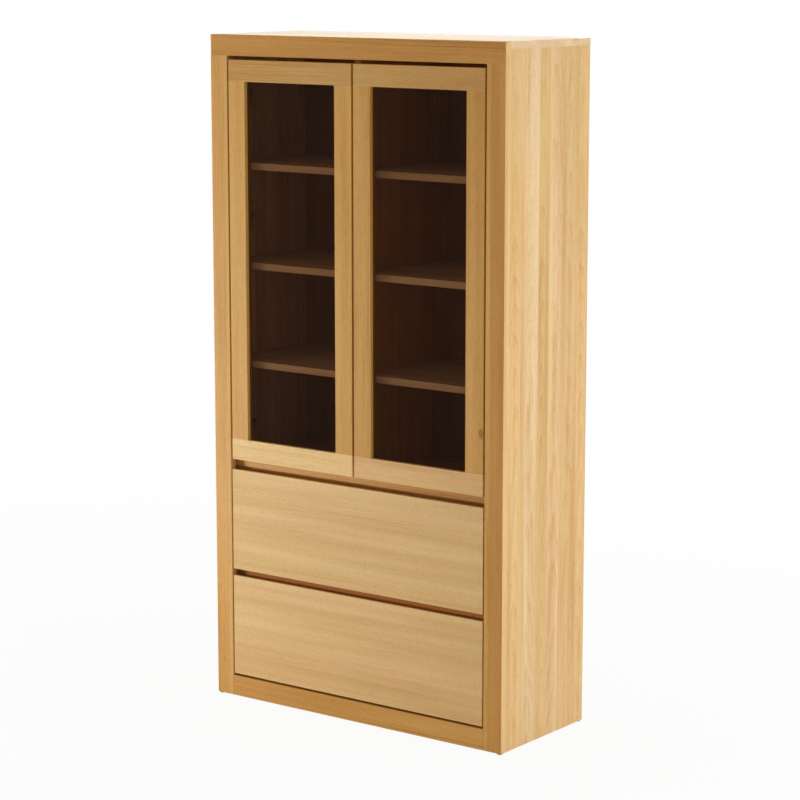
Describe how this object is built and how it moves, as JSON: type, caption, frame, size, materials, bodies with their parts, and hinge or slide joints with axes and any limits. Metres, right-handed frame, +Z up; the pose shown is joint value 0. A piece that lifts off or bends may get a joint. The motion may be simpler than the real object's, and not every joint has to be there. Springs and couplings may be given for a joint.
{
  "type": "kitchen cabinet",
  "caption": "Tall solid-wood kitchen cabinet with tinted glass doors over adjustable shelves and deep drawers with finger gaps for handles.",
  "frame": {"origin": "on the floor, under the middle of the cabinet's width and depth", "axes": "+X to the viewer's right when facing the doors, +Y from the front to the wall, +Z up"},
  "size_m": [1, 0.4, 1.9],
  "materials": {
    "case_wood": "satin oil",
    "shelf_wood": "satin oil",
    "door_wood": "satin oil",
    "drawer_front_wood": "satin oil",
    "drawer_box_wood": "matt lacquer",
    "drawer_base_board": "matt lacquer",
    "back_board": "matt veneer",
    "tinted_glass": "bronze tinted, polished",
    "hinge_steel": "nickel plated",
    "runner_steel": "zinc plated",
    "pin_metal": "nickel plated",
    "glide_nylon": "matt",
    "bumper_felt": "felt"
  },
  "bodies": {
    "case": {"left_side_panel": "case_wood", "right_side_panel": "case_wood", "top_panel": "case_wood", "base_panel": "case_wood", "middle_panel": "case_wood", "middle_front_rail": "case_wood", "drawer_rail": "case_wood", "centre_partition": "case_wood", "rear_plinth_rail": "case_wood", "face_stile_left": "case_wood", "face_stile_right": "case_wood", "face_top_rail": "case_wood", "face_bottom_rail": "case_wood", "hinge_blocks": "case_wood", "runner_packers": "case_wood", "left_shelf_lower": "shelf_wood", "left_shelf_middle": "shelf_wood", "left_shelf_upper": "shelf_wood", "right_shelf_lower": "shelf_wood", "right_shelf_middle": "shelf_wood", "right_shelf_upper": "shelf_wood", "back_panel_upper": "back_board", "back_panel_lower": "back_board", "shelf_pins": "pin_metal", "floor_glides": "glide_nylon", "door_bumpers": "bumper_felt", "left_hinge_arms": "hinge_steel", "right_hinge_arms": "hinge_steel", "upper_runner_case_rails": "runner_steel", "lower_runner_case_rails": "runner_steel"},
    "left_hinge_links": {"left_hinge_links": "hinge_steel"},
    "left_door": {"left_door_hinge_stile": "door_wood", "left_door_meeting_stile": "door_wood", "left_door_top_rail": "door_wood", "left_door_bottom_rail": "door_wood", "left_door_glass": "tinted_glass", "left_door_glazing_beads": "door_wood", "left_hinge_cups": "hinge_steel"},
    "right_hinge_links": {"right_hinge_links": "hinge_steel"},
    "right_door": {"right_door_hinge_stile": "door_wood", "right_door_meeting_stile": "door_wood", "right_door_top_rail": "door_wood", "right_door_bottom_rail": "door_wood", "right_door_glass": "tinted_glass", "right_door_glazing_beads": "door_wood", "right_hinge_cups": "hinge_steel"},
    "upper_runner_middles": {"upper_runner_middle_rails": "runner_steel"},
    "upper_drawer": {"upper_drawer_front": "drawer_front_wood", "upper_drawer_side_left": "drawer_box_wood", "upper_drawer_side_right": "drawer_box_wood", "upper_drawer_back": "drawer_box_wood", "upper_drawer_bottom": "drawer_base_board", "upper_runner_drawer_rails": "runner_steel"},
    "lower_runner_middles": {"lower_runner_middle_rails": "runner_steel"},
    "lower_drawer": {"lower_drawer_front": "drawer_front_wood", "lower_drawer_side_left": "drawer_box_wood", "lower_drawer_side_right": "drawer_box_wood", "lower_drawer_back": "drawer_box_wood", "lower_drawer_bottom": "drawer_base_board", "lower_runner_drawer_rails": "runner_steel"}
  },
  "joints": [
    {"name": "left_link_turn", "type": "hinge", "parent": "case", "child": "left_hinge_links", "pos_m": [-0.40045, -0.17361, 0.7955], "axis": [0, 0, 1], "range_deg": [0, 33]},
    {"name": "left_door_swing", "type": "hinge", "parent": "left_hinge_links", "child": "left_door", "pos_m": [-0.421, -0.185, 0.7955], "axis": [0, 0, -1], "range_deg": [0, 133]},
    {"name": "right_link_turn", "type": "hinge", "parent": "case", "child": "right_hinge_links", "pos_m": [0.40045, -0.17361, 0.7955], "axis": [0, 0, -1], "range_deg": [0, 33]},
    {"name": "right_door_swing", "type": "hinge", "parent": "right_hinge_links", "child": "right_door", "pos_m": [0.421, -0.185, 0.7955], "axis": [0, 0, 1], "range_deg": [0, 133]},
    {"name": "upper_runner_slide", "type": "slide", "parent": "case", "child": "upper_runner_middles", "axis": [0, -1, 0], "range_m": [0, 0.165]},
    {"name": "upper_drawer_slide", "type": "slide", "parent": "case", "child": "upper_drawer", "axis": [0, -1, 0], "range_m": [0, 0.33]},
    {"name": "lower_runner_slide", "type": "slide", "parent": "case", "child": "lower_runner_middles", "axis": [0, -1, 0], "range_m": [0, 0.165]},
    {"name": "lower_drawer_slide", "type": "slide", "parent": "case", "child": "lower_drawer", "axis": [0, -1, 0], "range_m": [0, 0.33]}
  ],
  "couplings": [
    {"joint": "left_link_turn", "follows": "left_door_swing", "ratio": 0.2481},
    {"joint": "right_link_turn", "follows": "right_door_swing", "ratio": 0.2481},
    {"joint": "upper_runner_slide", "follows": "upper_drawer_slide", "ratio": 0.5},
    {"joint": "lower_runner_slide", "follows": "lower_drawer_slide", "ratio": 0.5}
  ]
}
